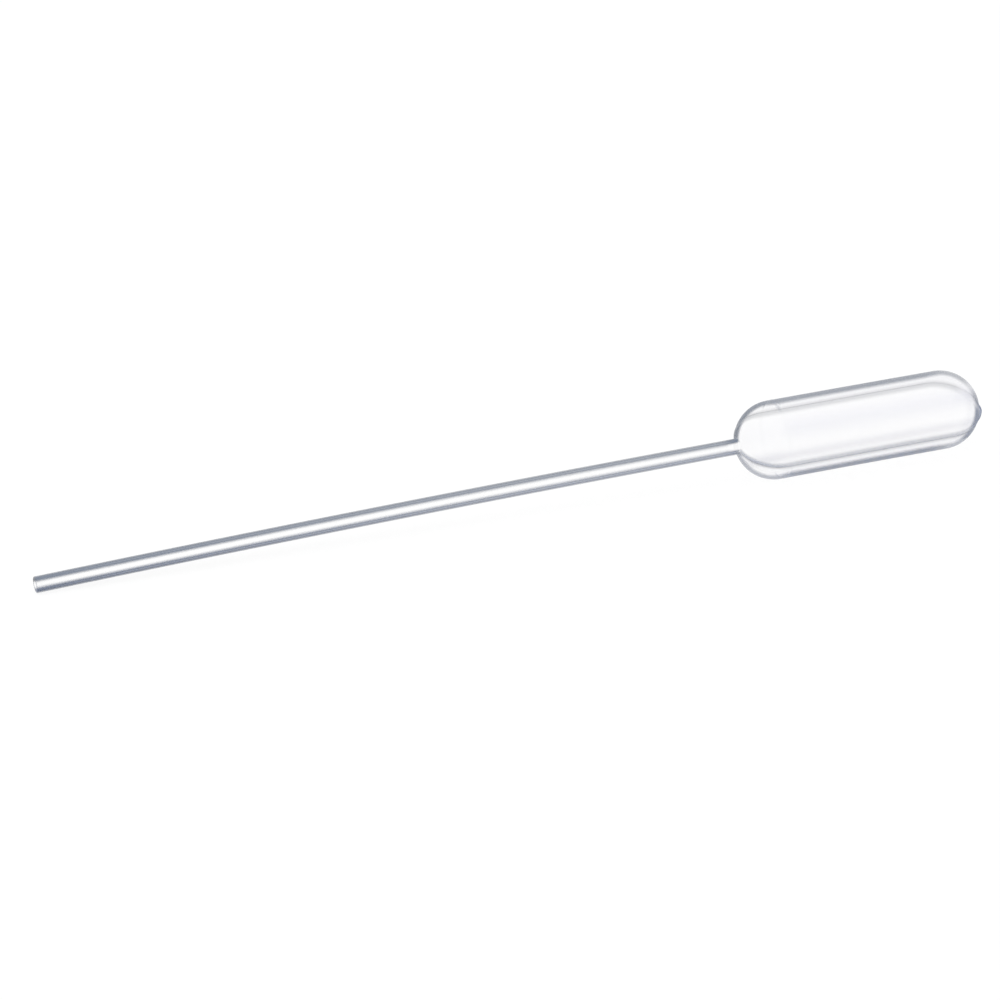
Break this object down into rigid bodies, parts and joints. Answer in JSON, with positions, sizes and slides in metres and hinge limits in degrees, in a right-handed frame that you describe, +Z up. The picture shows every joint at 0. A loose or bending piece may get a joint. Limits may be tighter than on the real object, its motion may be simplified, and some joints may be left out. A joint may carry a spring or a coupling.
{
  "type": "plastic dropper pipette",
  "caption": "Clear one-piece plastic dropper pipette with a long narrow stem and a round-ended squeeze bulb, lying as it rests on a table.",
  "frame": {"origin": "on the table under the middle of the lying pipette", "axes": "+X along the table from the open tip towards the bulb, +Z up from the table; the pipette's own axis rises 2.38 degrees towards the bulb, and its parting plane is turned up 16.75 degrees about that axis"},
  "size_m": [0.1556, 0.0126, 0.0137],
  "materials": {
    "clear_polyethylene": "smooth clear low-density polyethylene with a faint cool tint"
  },
  "bodies": {
    "root": {"dropper_pipette": "clear_polyethylene"}
  },
  "joints": []
}
